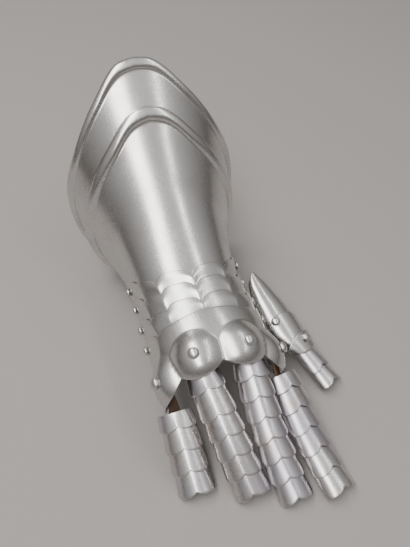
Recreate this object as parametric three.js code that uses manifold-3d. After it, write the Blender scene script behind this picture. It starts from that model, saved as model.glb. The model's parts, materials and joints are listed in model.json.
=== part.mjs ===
// Armoured right-hand gauntlet, lying palm down on a level surface.
// Millimetres, +Z up. The fingers point toward -Y, the cuff opens toward +Y
// and the thumb is on the +X side. Every plate is a thin sheet that laps its neighbour.
import * as THREE from 'three';
import { mergeVertices } from 'three/addons/utils/BufferGeometryUtils.js';
import Module from 'manifold-3d';

const wasm = await Module();
wasm.setup();

// ---------------------------------------------------------------- dimensions

const DEGREE = Math.PI / 180;
const SHEET = 1.0; // thickness of the steel plates
const GAP = 0.45; // space between two plates that lap
const STEP = SHEET + GAP; // height of a lapping edge above the plate under it
const LAP = 5; // hidden length of a plate under its neighbour, along the back
const LOBE_REACH = 6; // the same past a side rivet

// Cross-sections of the body, from the knuckles to the mouth of the cuff.
// halfWidth is measured at the height "axis", where a section is widest.
const BODY = [
  { y: -94, halfWidth: 43.5, top: 56, bottom: 20, axis: 29 },
  { y: -80, halfWidth: 43.2, top: 67, bottom: 22, axis: 35 },
  { y: -62, halfWidth: 42.3, top: 72, bottom: 23, axis: 39 },
  { y: -38, halfWidth: 41.6, top: 71.5, bottom: 22, axis: 40 },
  { y: 5, halfWidth: 40.8, top: 77, bottom: 16, axis: 41 },
  { y: 45, halfWidth: 48.2, top: 98, bottom: 6.5, axis: 43 },
  { y: 60, halfWidth: 54.2, top: 110.3, bottom: 2.6, axis: 45 },
  { y: 66, halfWidth: 56.9, top: 115.5, bottom: 0.3, axis: 46.3 },
  { y: 72, halfWidth: 59.7, top: 121, bottom: 0.2, axis: 48 },
  { y: 90, halfWidth: 66.8, top: 138.6, bottom: 0.2, axis: 55 },
  { y: 130, halfWidth: 77.5, top: 171, bottom: 0.2, axis: 74 },
];

// The rear edges of the two cuff plates, by angle round the section
// from the middle of the back (0) to the middle of the underside (180).
const CUFF_EDGES = [
  { angle: 0, bead: 96.5, rim: 125.8 },
  { angle: 12, bead: 94.2, rim: 123.8 },
  { angle: 30, bead: 85.2, rim: 112.4 },
  { angle: 55, bead: 79, rim: 103 },
  { angle: 80, bead: 77.5, rim: 101.5 },
  { angle: 105, bead: 69, rim: 90 },
  { angle: 135, bead: 62, rim: 80 },
  { angle: 180, bead: 60, rim: 77 },
];

// The half-round ridges that stiffen both rear edges.
const BEAD = { width: 8.6, height: 3 };
const RIM = { width: 7.4, height: 2.6 };

// The side rivets that the wrist turns on.
const PIVOTS = {
  a: { y: 10.4, z: 43.5 },
  b: { y: -6.2, z: 41.5 },
  c: { y: -24.8, z: 41 },
  hand: { y: -43.3, z: 41.5 },
};

// Proximal edges of the three wrist lames and of the metacarpal plate. Each starts on
// the middle of the back and runs in arcs, from cusp to cusp, round the side rivet.
const LAST_ANGLE = 112;
const EDGES = {
  a: {
    centre: -12.6,
    arcs: [
      { angle: 38, y: -7.5, rise: 5.2, power: 4 },
      { angle: 62, y: 5, rise: 2, power: 2 },
      { angle: LAST_ANGLE, y: 6, rise: 10.5, power: 2 },
    ],
  },
  b: {
    centre: -22.9,
    arcs: [
      { angle: 36, y: -18.8, rise: 5, power: 4 },
      { angle: 60, y: -12.2, rise: 1.6, power: 2 },
      { angle: LAST_ANGLE, y: -10, rise: 11, power: 2 },
    ],
  },
  c: {
    centre: -36.6,
    arcs: [
      { angle: 35, y: -33.3, rise: 5, power: 4 },
      { angle: 58, y: -30.6, rise: 1.8, power: 2 },
      { angle: LAST_ANGLE, y: -28.6, rise: 10.6, power: 2 },
    ],
  },
  hand: {
    centre: -43,
    arcs: [
      { angle: 36, y: -45, rise: 0.2, power: 2 },
      { angle: 54, y: -46.4, rise: 1.2, power: 2 },
      { angle: LAST_ANGLE, y: -46.5, rise: 9, power: 2 },
    ],
  },
};
const ARC_STEPS = [6, 3, 6]; // facets along each arc

// The four embossed knuckles, by angle round the section. "strap" places the leather
// under each, along the plate from its rivet.
const KNUCKLES = {
  little: { angle: -70, y: -75, strap: [5, 0, -5, -10.5] },
  ring: { angle: -23, y: -73, strap: [5, 0, -4] },
  middle: { angle: 25, y: -74, strap: [5, 0, -4] },
  index: { angle: 70, y: -75, strap: [5, 0, -5, -10.5] },
};
const DOME = { radius: 18.5, height: 5.5 };

// Distal edge of the metacarpal plate: one round lobe over each knuckle.
const LOBES = {
  middleNotch: { angle: 0, y: -81 },
  sideNotch: { angle: 41.5, y: -81.5 },
  end: { angle: 120, y: -79.5 },
  innerDepth: 4.6,
  outerDepth: 8.2,
};

// Fingers: crest line of each row of scales, from the knuckle to the tip.
const FINGERS = {
  little: {
    crest: [[-40, -80, 48], [-38.6, -103, 34], [-37, -137.5, 9.5]],
    scales: 4, pitch: 14.6, firstPitch: 15, halfWidth: 13, roll: -12,
  },
  ring: {
    crest: [[-17, -82, 63.4], [-10.8, -116, 40.5], [-2.8, -151, 10.4]],
    scales: 6, pitch: 14.4, firstPitch: 18.6, halfWidth: 12.8, roll: -18,
  },
  middle: {
    crest: [[17, -82, 62], [17.8, -118, 39], [24.6, -161.5, 8.8]],
    scales: 7, pitch: 14.1, firstPitch: 14.1, halfWidth: 12.2, roll: -8,
  },
  index: {
    crest: [[41.5, -82, 48], [47.2, -124, 28], [56.2, -164, 10]],
    scales: 6, pitch: 14.6, firstPitch: 14.6, halfWidth: 12.8, roll: 10,
  },
};
const SCALE = { arch: 9, lap: 4.5, dip: 2.6, taper: 2.1, lobe: 3, spread: 84 };
const FIRST_SCALE = { length: 8.5, dip: 1.9, taper: 1.3 }; // the short one under a knuckle

// Thumb: crest line of its plates, from the wrist to the tip.
const THUMB = {
  crest: [[57, 9, 33], [62.5, -20, 31], [67, -43, 28], [76.5, -66, 20], [86, -88.5, 9.6]],
  roll: 14,
  archShare: 0.75,
};
// Each plate runs between two distances along the crest. "bow" moves its edges where
// they meet its sides, and "lift" is its height over the crest line.
const THUMB_PLATES = {
  base: [
    { distance: 0, bow: 3, halfWidth: 2.5, lift: 0 },
    { distance: 8, bow: 0, halfWidth: 7, lift: 0 },
    { distance: 22, bow: 0, halfWidth: 11, lift: 0 },
    { distance: 40, bow: 0, halfWidth: 13.8, lift: 0 },
    { distance: 55, bow: 0, halfWidth: 13.8, lift: -1.2 },
  ],
  knuckle: [
    { distance: 44.5, bow: 9, halfWidth: 15.4, lift: STEP },
    { distance: 60, bow: 0, halfWidth: 14.4, lift: 0.9 },
    { distance: 74, bow: -8, halfWidth: 11.2, lift: -0.8 },
  ],
  lens: [
    { distance: 65, bow: 6, halfWidth: 14.4, lift: 2.5 },
    { distance: 78.5, bow: -5, halfWidth: 11.8, lift: 0.5 },
  ],
};
const THUMB_SCALES = [
  { start: 75, notch: 92, startWidth: 8.8, halfWidth: 10.6, dip: 2.2 },
  { start: 87.4, notch: 105.4, startWidth: 8.6, halfWidth: 10.8, dip: 2.6 },
];
const THUMB_RIVETS = {
  base: { distance: 48.5, place: -0.45, halfWidth: 15.2, lift: 1.4 },
  lens: { distance: 70, place: 0.05, halfWidth: 13.6, lift: 2.3 },
};

// Rivets: radius and height of the round head, radius of the shank.
const SIDE_RIVET = { head: 3.1, height: 2.2, shank: 1.3 };
const KNUCKLE_RIVET = { head: 4, height: 3, shank: 1.6 };
const THUMB_RIVET = { head: 3.4, height: 2.5, shank: 1.4 };
const HOLE_CLEARANCE = 0.5;
const RIVET_SIDES = 8;

// Leather strips that carry the scales, and the tab that ties the thumb to the hand.
const LEATHER = { width: 8, thumbWidth: 7, thickness: 1.8, depth: 5.8, seat: 2.8, dive: 1.8 };
const THUMB_TAB = {
  width: 13,
  route: [[30, -56, 38], [33, -54, 27], [43, -51, 14], [53, -48, 13], [62, -46, 18]],
};

// ----------------------------------------------------------------- materials

function material(color, roughness, metalness) {
  return new THREE.MeshStandardMaterial({ color, roughness, metalness, side: THREE.DoubleSide });
}
const POLISHED_STEEL = material(0xb9b9b6, 0.32, 1);
const DULL_STEEL = material(0xa39d95, 0.42, 1);
const RIVET_STEEL = material(0xc4c2be, 0.28, 1);
const BROWN_LEATHER = material(0x4a3527, 0.8, 0);

// ------------------------------------------------------------------- helpers

// Smooth value of a table's column at a place on its key, by cubic steps between rows.
function sample(table, key, column, at) {
  let row = 0;
  while (row < table.length - 2 && at > table[row + 1][key]) row += 1;
  const slope = (index) => {
    const before = table[Math.max(index - 1, 0)];
    const after = table[Math.min(index + 1, table.length - 1)];
    return (after[column] - before[column]) / (after[key] - before[key]);
  };
  const span = table[row + 1][key] - table[row][key];
  const t = (at - table[row][key]) / span;
  return (
    (2 * t ** 3 - 3 * t ** 2 + 1) * table[row][column]
    + (t ** 3 - 2 * t ** 2 + t) * span * slope(row)
    + (3 * t ** 2 - 2 * t ** 3) * table[row + 1][column]
    + (t ** 3 - t ** 2) * span * slope(row + 1)
  );
}

// A point of the body's outer surface; the angle runs from the back toward +X.
function bodyPoint(y, angle) {
  const axis = sample(BODY, 'y', 'axis', y);
  const rise = Math.cos(angle * DEGREE);
  const reach = rise > 0 ? sample(BODY, 'y', 'top', y) - axis : axis - sample(BODY, 'y', 'bottom', y);
  const x = sample(BODY, 'y', 'halfWidth', y) * Math.sin(angle * DEGREE);
  return new THREE.Vector3(x, y, axis + reach * rise);
}

function bodyNormal(y, angle) {
  const round = bodyPoint(y, angle + 1).sub(bodyPoint(y, angle - 1));
  const along = bodyPoint(y + 0.5, angle).sub(bodyPoint(y - 0.5, angle));
  return round.cross(along).normalize();
}

function raised(y, angle, height) {
  return bodyPoint(y, angle).addScaledVector(bodyNormal(y, angle), height);
}

function smoothStep(value, low, high) {
  return THREE.MathUtils.smoothstep(value, low, high);
}

// Closed mesh geometry from points and triangles, with its faces turned outward.
function closedGeometry(points, triangles) {
  let volume = 0;
  for (const [a, b, c] of triangles) {
    volume += points[a].dot(points[b].clone().cross(points[c]));
  }
  const outward = volume > 0 ? triangles : triangles.map(([a, b, c]) => [a, c, b]);
  const geometry = new THREE.BufferGeometry();
  const positions = points.flatMap((point) => point.toArray());
  geometry.setAttribute('position', new THREE.Float32BufferAttribute(positions, 3));
  geometry.setIndex(outward.flat());
  return geometry;
}

// Direction square to the grid of points at one of its places.
function gridNormal(rows, row, column, ring) {
  const across = rows[0].length;
  const left = ring ? (column + across - 1) % across : Math.max(column - 1, 0);
  const right = ring ? (column + 1) % across : Math.min(column + 1, across - 1);
  const before = rows[Math.max(row - 1, 0)][column];
  const after = rows[Math.min(row + 1, rows.length - 1)][column];
  const round = rows[row][right].clone().sub(rows[row][left]);
  return round.cross(after.clone().sub(before)).normalize();
}

// A sheet of even thickness under a grid of outer points. Rows run along the plate and
// each holds points from left to right; a ring's rows close on themselves.
function sheet(rows, ring = false, thickness = SHEET) {
  const across = rows[0].length;
  const count = rows.length * across;
  const points = rows.flat();
  rows.forEach((line, row) => line.forEach((point, column) => {
    points.push(point.clone().addScaledVector(gridNormal(rows, row, column, ring), thickness));
  }));
  const at = (row, column, inner) => inner * count + row * across + (column % across);
  const triangles = [];
  const quad = (a, b, c, d) => triangles.push([a, b, c], [a, c, d]);
  const columns = ring ? across : across - 1;
  for (let row = 0; row < rows.length - 1; row += 1) {
    for (let column = 0; column < columns; column += 1) {
      const corners = [[row, column], [row, column + 1], [row + 1, column + 1], [row + 1, column]];
      quad(...corners.map(([r, c]) => at(r, c, 0)));
      quad(...corners.map(([r, c]) => at(r, c, 1)).reverse());
    }
  }
  const last = rows.length - 1;
  for (let column = 0; column < columns; column += 1) {
    quad(at(0, column, 1), at(0, column + 1, 1), at(0, column + 1, 0), at(0, column, 0));
    quad(at(last, column, 0), at(last, column + 1, 0), at(last, column + 1, 1), at(last, column, 1));
  }
  if (!ring) {
    for (let row = 0; row < last; row += 1) {
      quad(at(row, 0, 0), at(row + 1, 0, 0), at(row + 1, 0, 1), at(row, 0, 1));
      quad(at(row, columns, 1), at(row + 1, columns, 1), at(row + 1, columns, 0), at(row, columns, 0));
    }
  }
  return closedGeometry(points, triangles);
}

function toManifold(geometry) {
  const bare = geometry.clone();
  bare.deleteAttribute('normal');
  bare.deleteAttribute('uv');
  const merged = mergeVertices(bare, 1e-4);
  return new wasm.Manifold(new wasm.Mesh({
    numProp: 3,
    vertProperties: new Float32Array(merged.attributes.position.array),
    triVerts: new Uint32Array(merged.index.array),
  }));
}

function fromManifold(solid) {
  const mesh = solid.getMesh();
  const geometry = new THREE.BufferGeometry();
  geometry.setAttribute('position', new THREE.BufferAttribute(mesh.vertProperties, 3));
  geometry.setIndex(new THREE.BufferAttribute(mesh.triVerts, 1));
  return geometry;
}

// A rivet stands on "point" with its head along "normal"; "depth" is how far its shank
// goes in, down to the upset end inside.
function rivetFrame(point, normal) {
  const turn = new THREE.Quaternion().setFromUnitVectors(new THREE.Vector3(0, 1, 0), normal);
  return new THREE.Matrix4().compose(point, turn, new THREE.Vector3(1, 1, 1));
}

function rivetGeometry(place) {
  const { head, height, shank } = place.size;
  const seat = 0.3;
  const profile = [
    [0, -place.depth - 0.9], [shank + 0.8, -place.depth - 0.9], [shank + 0.8, -place.depth],
    [shank, -place.depth], [shank, seat], [head, seat], [head * 0.75, seat + height * 0.75],
    [0, seat + height],
  ].map(([radius, along]) => new THREE.Vector2(radius, along));
  const geometry = new THREE.LatheGeometry(profile, RIVET_SIDES);
  return geometry.applyMatrix4(rivetFrame(place.point, place.normal));
}

function drill(geometry, places) {
  let solid = toManifold(geometry);
  for (const place of places) {
    const radius = place.size.shank + HOLE_CLEARANCE;
    const bit = new THREE.CylinderGeometry(radius, radius, 16, RIVET_SIDES);
    solid = solid.subtract(toManifold(bit.applyMatrix4(rivetFrame(place.point, place.normal))));
  }
  return fromManifold(solid);
}

const gauntlet = new THREE.Group();

function add(name, geometry, finish) {
  const mesh = new THREE.Mesh(geometry, finish);
  mesh.name = name;
  gauntlet.add(mesh);
}

// -------------------------------------------------------- edges of the plates

// Where an edge is, after "part" of one of its arcs.
function edgePlace(edge, arc, part) {
  const from = arc === 0 ? { angle: 0, y: edge.centre } : edge.arcs[arc - 1];
  const to = edge.arcs[arc];
  const swell = to.rise * (1 - Math.abs(2 * part - 1) ** to.power);
  return {
    angle: THREE.MathUtils.lerp(from.angle, to.angle, part),
    y: THREE.MathUtils.lerp(from.y, to.y, part) + swell,
  };
}

// Columns of an arched plate: from the left end over the back to the right end.
function plateColumns() {
  const right = ARC_STEPS.flatMap((steps, arc) => (
    Array.from({ length: steps }, (_, step) => ({ side: 1, arc, part: (step + 1) / steps }))
  ));
  const left = right.map((column) => ({ ...column, side: -1 })).reverse();
  return [...left, { side: 1, arc: 0, part: 0 }, ...right];
}
const COLUMNS = plateColumns();

function edgeRow(edge, height) {
  return COLUMNS.map(({ side, arc, part }) => {
    const place = edgePlace(edge, arc, part);
    return raised(place.y, place.angle * side, height);
  });
}

// The part of a plate hidden under its neighbour. Along the back it follows a circle
// about the rivets, so that the neighbour slides over it as the wrist turns.
function lapPoint(edge, pivot, column, share) {
  const place = edgePlace(edge, column.arc, column.part);
  const angle = place.angle * column.side;
  const start = raised(place.y, angle, 0);
  const far = THREE.MathUtils.lerp(place.y, pivot.y - LOBE_REACH, share);
  const straight = raised(far, angle, -STEP * share);
  const arm = start.clone().sub(new THREE.Vector3(start.x, pivot.y, pivot.z));
  const turn = (LAP / arm.length()) * share;
  const circle = arm.applyAxisAngle(new THREE.Vector3(1, 0, 0), turn);
  circle.add(new THREE.Vector3(start.x, pivot.y, pivot.z));
  return straight.lerp(circle, smoothStep(start.z - pivot.z, 5, 15));
}

function lapRow(edge, pivot, share) {
  return COLUMNS.map((column) => lapPoint(edge, pivot, column, share));
}

function pivotRivets(pivot) {
  return [-1, 1].map((side) => {
    const place = { side, size: SIDE_RIVET, depth: 2 * STEP + SHEET + 1 };
    const reach = sample(BODY, 'y', 'halfWidth', pivot.y) + STEP + 0.3;
    place.point = new THREE.Vector3(side * reach, pivot.y, pivot.z);
    place.normal = new THREE.Vector3(side, 0, 0);
    return place;
  });
}
const SIDE_RIVETS = Object.fromEntries(
  Object.entries(PIVOTS).map(([name, pivot]) => [name, pivotRivets(pivot)]),
);

// ---------------------------------------------------------------------- cuff

// Angles round a closed section; the last two leave a level facet on the underside.
const UNDERSIDE_ANGLES = [124, 140, 156, 171];

function ringAngles() {
  const right = [4, 9, 15, 22, 30, 40, 52, 65, 80, 95, 110, ...UNDERSIDE_ANGLES];
  return [...right.map((angle) => -angle).reverse(), 0, ...right];
}

function ringRow(place) {
  return ringAngles().map((angle) => {
    const { y, height } = place(Math.abs(angle));
    return raised(y, angle, height);
  });
}

const cuffEdge = (angle, column) => sample(CUFF_EDGES, 'angle', column, angle);

// Rows over a half-round ridge that ends at an edge.
function ridgeRows(column, ridge, base) {
  return [1, 0.7, 0.3, 0].map((share, index) => {
    const height = [0, 0.9, 0.9, 0.1][index] * ridge.height;
    return ringRow((angle) => ({
      y: cuffEdge(angle, column) - share * ridge.width,
      height: base + height,
    }));
  });
}

function rearPlate() {
  const base = -STEP - 0.1;
  const hidden = ringRow((angle) => ({ y: cuffEdge(angle, 'bead') - 12, height: base }));
  const middle = ringRow((angle) => ({ y: cuffEdge(angle, 'bead') + 3, height: base }));
  return sheet([hidden, middle, ...ridgeRows('rim', RIM, base)].reverse(), true);
}

// Front end of the cuff: hidden under the first lame, plain round the underside.
const CUFF_FRONT = 4.4;

function cuffColumns() {
  return [
    ...UNDERSIDE_ANGLES.map((angle) => ({ angle: -angle })).reverse(),
    ...COLUMNS,
    ...UNDERSIDE_ANGLES.map((angle) => ({ angle })),
  ];
}

function cuffFrontRow(share) {
  return cuffColumns().map((column) => {
    if (column.angle === undefined) return lapPoint(EDGES.a, PIVOTS.a, column, share);
    const near = edgePlace(EDGES.a, 2, 1).y;
    return raised(THREE.MathUtils.lerp(near, CUFF_FRONT, share), column.angle, -STEP * share);
  });
}

// A row of the cuff between the first lame's edge (0) and the crease of the bead (1).
function cuffRow(share, extra = 0, height = 0) {
  return cuffColumns().map((column) => {
    const place = column.angle === undefined
      ? edgePlace(EDGES.a, column.arc, column.part)
      : { angle: Math.abs(column.angle), y: edgePlace(EDGES.a, 2, 1).y };
    const side = column.angle === undefined ? column.side : Math.sign(column.angle);
    const rear = cuffEdge(place.angle, 'bead') - BEAD.width;
    const y = THREE.MathUtils.lerp(place.y, rear, share) + extra;
    return raised(y, place.angle * side, height);
  });
}

function cuffMain() {
  const body = [0.25, 0.5, 0.75, 1].map((share) => cuffRow(share));
  const ridge = [[0.3, 0.85], [0.7, 0.9], [1, 0.1]].map(([part, height]) => (
    cuffRow(1, part * BEAD.width, height * BEAD.height)
  ));
  const front = [1, 0.5, 0].map(cuffFrontRow);
  return sheet([...front, ...body, ...ridge].reverse(), true);
}

const CUFF_RIVETS = [-1, 1].map((side) => {
  const angle = side * 132;
  const y = 47;
  return {
    side,
    size: SIDE_RIVET,
    depth: STEP + SHEET + 0.9,
    point: raised(y, angle, 0.2),
    normal: bodyNormal(y, angle),
  };
});

add('cuff_rear_plate', drill(rearPlate(), CUFF_RIVETS), POLISHED_STEEL);
add('cuff_main', drill(cuffMain(), [...SIDE_RIVETS.a, ...CUFF_RIVETS]), POLISHED_STEEL);

// --------------------------------------------------------------- wrist lames

const LAME_ORDER = ['a', 'b', 'c', 'hand'];

function lame(name, next) {
  const rows = [
    edgeRow(EDGES[name], STEP),
    edgeRow(EDGES[next], 0),
    lapRow(EDGES[next], PIVOTS[next], 0.5),
    lapRow(EDGES[next], PIVOTS[next], 1),
  ];
  return drill(sheet(rows), [...SIDE_RIVETS[name], ...SIDE_RIVETS[next]]);
}

LAME_ORDER.slice(0, 3).forEach((name, index) => {
  add(`lame_${name}`, lame(name, LAME_ORDER[index + 1]), POLISHED_STEEL);
});

// ---------------------------------------------------------- metacarpal plate

function lobePlace(column) {
  const { middleNotch, sideNotch, end, innerDepth, outerDepth } = LOBES;
  if (column.arc === 0) {
    const dip = innerDepth * (1 - Math.abs(2 * column.part - 1) ** 2.4);
    return {
      angle: THREE.MathUtils.lerp(middleNotch.angle, sideNotch.angle, column.part),
      y: THREE.MathUtils.lerp(middleNotch.y, sideNotch.y, column.part) - dip,
    };
  }
  const outerSteps = ARC_STEPS[1] + ARC_STEPS[2];
  const done = column.arc === 1 ? 0 : ARC_STEPS[1];
  const part = (done + column.part * ARC_STEPS[column.arc]) / outerSteps;
  const dip = outerDepth * (1 - Math.abs(2 * part - 1) ** 3);
  return {
    angle: THREE.MathUtils.lerp(sideNotch.angle, end.angle, part),
    y: THREE.MathUtils.lerp(sideNotch.y, end.y, part) - dip,
  };
}

function domeHeight(y, angle) {
  const here = bodyPoint(y, angle);
  return Math.max(...Object.values(KNUCKLES).map((knuckle) => {
    const away = here.distanceTo(bodyPoint(knuckle.y, knuckle.angle)) / DOME.radius;
    return away >= 1 ? 0 : DOME.height * (1 - away ** 2) ** 1.3;
  }));
}

function metacarpalRow(share) {
  return COLUMNS.map((column) => {
    const start = edgePlace(EDGES.hand, column.arc, column.part);
    const end = lobePlace(column);
    const y = THREE.MathUtils.lerp(start.y, end.y, share);
    const angle = column.side * THREE.MathUtils.lerp(start.angle, end.angle, smoothStep(share, 0, 0.6));
    const lift = STEP * (1 - smoothStep(share, 0, 0.5));
    return raised(y, angle, lift + domeHeight(y, angle));
  });
}

function knuckleRivet([name, { angle, y }]) {
  return {
    name,
    size: KNUCKLE_RIVET,
    depth: SHEET + LEATHER.seat + LEATHER.thickness + 0.7,
    point: raised(y, angle, DOME.height),
    normal: bodyNormal(y, angle),
  };
}
const KNUCKLE_RIVETS = Object.entries(KNUCKLES).map(knuckleRivet);

const metacarpalRows = [0, 0.3, 0.5, 0.64, 0.76, 0.86, 0.94, 1].map(metacarpalRow);
const metacarpalHoles = [...SIDE_RIVETS.hand, ...KNUCKLE_RIVETS];
add('metacarpal_plate', drill(sheet(metacarpalRows), metacarpalHoles), POLISHED_STEEL);

// -------------------------------------------------------------------- rivets

const SIDE_NAMES = { '-1': 'left', 1: 'right' };
for (const name of LAME_ORDER) {
  for (const place of SIDE_RIVETS[name]) {
    add(`rivet_${name}_${SIDE_NAMES[place.side]}`, rivetGeometry(place), RIVET_STEEL);
  }
}
for (const place of CUFF_RIVETS) {
  add(`rivet_cuff_${SIDE_NAMES[place.side]}`, rivetGeometry(place), RIVET_STEEL);
}
for (const place of KNUCKLE_RIVETS) {
  add(`rivet_knuckle_${place.name}`, rivetGeometry(place), RIVET_STEEL);
}

// -------------------------------------------------------- finger and thumb plates

function crestCurve(points) {
  return new THREE.CatmullRomCurve3(points.map((point) => new THREE.Vector3(...point)));
}

// Place on a crest line at a distance from its start, with its own right and up.
function crestFrame(curve, distance, roll) {
  const share = THREE.MathUtils.clamp(distance / curve.getLength(), 0, 1);
  const beyond = distance - share * curve.getLength();
  const forward = curve.getTangentAt(share);
  const level = new THREE.Vector3(0, 0, 1).cross(forward).normalize();
  const up = forward.clone().cross(level).normalize();
  level.negate().applyAxisAngle(forward, -roll * DEGREE);
  up.applyAxisAngle(forward, -roll * DEGREE);
  const point = curve.getPointAt(share).addScaledVector(forward, beyond);
  return { point, forward, right: level.negate(), up };
}

// Outer points of an arched plate. Each row gives its distance along the crest for a
// place from the left edge (-1) to the right edge (1), its half width, arch and lift.
function archedRows(curve, roll, stations, across) {
  return stations.map(({ distance, halfWidth, arch, lift }) => across.map((place) => {
    const frame = crestFrame(curve, distance(place), roll);
    const angle = place * SCALE.spread * DEGREE;
    const aside = (halfWidth * Math.sin(angle)) / Math.sin(SCALE.spread * DEGREE);
    return frame.point.clone()
      .addScaledVector(frame.right, aside)
      .addScaledVector(frame.up, lift - arch * (1 - Math.cos(angle)));
  }));
}

const ACROSS = [-1, -0.86, -0.6, -0.34, -0.12, 0, 0.12, 0.34, 0.6, 0.86, 1];

// Two round lobes that meet in a small notch on the crest.
function bracket(place) {
  const away = Math.abs(place) / 0.52;
  return SCALE.lobe * (1 - Math.abs(1 - away) ** 2.6);
}

function scaleSheet(curve, roll, { start, notch, startWidth, halfWidth, arch, dip }) {
  return sheet(archedRows(curve, roll, [
    { distance: () => start, halfWidth: startWidth, arch, lift: -dip },
    { distance: (place) => notch + bracket(place), halfWidth, arch, lift: 0 },
  ], ACROSS));
}

function fingerScales(name, finger) {
  const curve = crestCurve(finger.crest);
  const total = curve.getLength();
  for (let index = 0; index < finger.scales; index += 1) {
    const fromTip = finger.scales - 1 - index;
    const visible = index === 1 ? finger.firstPitch : finger.pitch;
    const beyond = index === 0 ? finger.firstPitch - finger.pitch : 0;
    const notch = total - fromTip * finger.pitch - beyond;
    const first = index === 0;
    add(`${name}_scale_${index + 1}`, scaleSheet(curve, finger.roll, {
      start: first ? notch - FIRST_SCALE.length : notch - visible - SCALE.lap,
      notch,
      startWidth: finger.halfWidth - (first ? FIRST_SCALE.taper : SCALE.taper),
      halfWidth: finger.halfWidth,
      arch: SCALE.arch,
      dip: first ? FIRST_SCALE.dip : SCALE.dip,
    }), DULL_STEEL);
  }
}

Object.entries(FINGERS).forEach(([name, finger]) => fingerScales(name, finger));

const THUMB_CURVE = crestCurve(THUMB.crest);

function thumbPlate(stations) {
  return sheet(archedRows(THUMB_CURVE, THUMB.roll, stations.map((station) => ({
    ...station,
    arch: station.halfWidth * THUMB.archShare,
    distance: (place) => station.distance + station.bow * place * place,
  })), ACROSS));
}

function thumbRivet([name, station]) {
  const point = (distance, place) => archedRows(THUMB_CURVE, THUMB.roll, [{
    ...station,
    arch: station.halfWidth * THUMB.archShare,
    distance: () => distance,
  }], [place])[0][0];
  const { distance, place } = station;
  const along = point(distance + 1, place).sub(point(distance - 1, place));
  const across = point(distance, place + 0.05).sub(point(distance, place - 0.05));
  return {
    name,
    size: THUMB_RIVET,
    depth: STEP + SHEET + 1.8,
    point: point(distance, place),
    normal: across.cross(along).negate().normalize(),
  };
}
const THUMB_RIVET_PLACES = Object.entries(THUMB_RIVETS).map(thumbRivet);

add('thumb_base', drill(thumbPlate(THUMB_PLATES.base), [THUMB_RIVET_PLACES[0]]), POLISHED_STEEL);
add('thumb_knuckle', drill(thumbPlate(THUMB_PLATES.knuckle), THUMB_RIVET_PLACES), POLISHED_STEEL);
add('thumb_lens', drill(thumbPlate(THUMB_PLATES.lens), [THUMB_RIVET_PLACES[1]]), POLISHED_STEEL);
THUMB_SCALES.forEach((scale, index) => {
  const arch = scale.halfWidth * THUMB.archShare;
  add(`thumb_scale_${index + 1}`, scaleSheet(THUMB_CURVE, THUMB.roll, { ...scale, arch }), DULL_STEEL);
});
for (const place of THUMB_RIVET_PLACES) {
  add(`rivet_thumb_${place.name}`, rivetGeometry(place), RIVET_STEEL);
}

// ------------------------------------------------------------------- leather

// A flat strip along a crest line, "depth" under it.
function stripRows(curve, roll, distances, width, dive = 0) {
  return archedRows(curve, roll, distances.map((distance, index) => ({
    distance: () => distance,
    halfWidth: width / 2,
    arch: 0,
    lift: -LEATHER.depth - (index === 0 ? dive : 0),
  })), [-1, 1]);
}

// The strip under a knuckle follows the inside of the metacarpal plate.
function knuckleStrip({ name }) {
  const { angle, y, strap } = KNUCKLES[name];
  return strap.map((ahead) => {
    const dive = ahead < -5 ? LEATHER.dive : 0;
    const height = domeHeight(y + ahead, angle) - SHEET - LEATHER.seat - dive;
    const centre = raised(y + ahead, angle, height);
    const across = bodyPoint(y + ahead, angle + 1).sub(bodyPoint(y + ahead, angle - 1));
    across.setLength(LEATHER.width / 2);
    return [-1, 1].map((side) => centre.clone().addScaledVector(across, side));
  });
}

for (const place of KNUCKLE_RIVETS) {
  const finger = FINGERS[place.name];
  const curve = crestCurve(finger.crest);
  const total = curve.getLength();
  const outer = KNUCKLES[place.name].strap.length > 3;
  const distances = [outer ? 22 : 4, total / 2, total - 6];
  const dive = outer ? LEATHER.dive : 0;
  const along = stripRows(curve, finger.roll, distances, LEATHER.width, dive);
  const strip = sheet([...knuckleStrip(place), ...along], false, LEATHER.thickness);
  add(`${place.name}_leather`, drill(strip, [place]), BROWN_LEATHER);
}

const thumbDistances = [12, 36, 58, 80, 99];
const thumbStrip = stripRows(THUMB_CURVE, THUMB.roll, thumbDistances, LEATHER.thumbWidth);
add('thumb_leather', sheet(thumbStrip, false, LEATHER.thickness), BROWN_LEATHER);

const tabRows = THUMB_TAB.route.map((point) => [1, -1].map((side) => (
  new THREE.Vector3(...point).add(new THREE.Vector3(0, (side * THUMB_TAB.width) / 2, 0))
)));
add('thumb_tab', sheet(tabRows, false, LEATHER.thickness), BROWN_LEATHER);

// The origin is the middle of the bottom of the box round the whole gauntlet.
const extent = new THREE.Box3().setFromObject(gauntlet);
const middle = extent.getCenter(new THREE.Vector3());
gauntlet.children.forEach((mesh) => mesh.geometry.translate(-middle.x, -middle.y, -extent.min.z));

export default gauntlet;
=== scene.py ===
import json
import math

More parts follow.
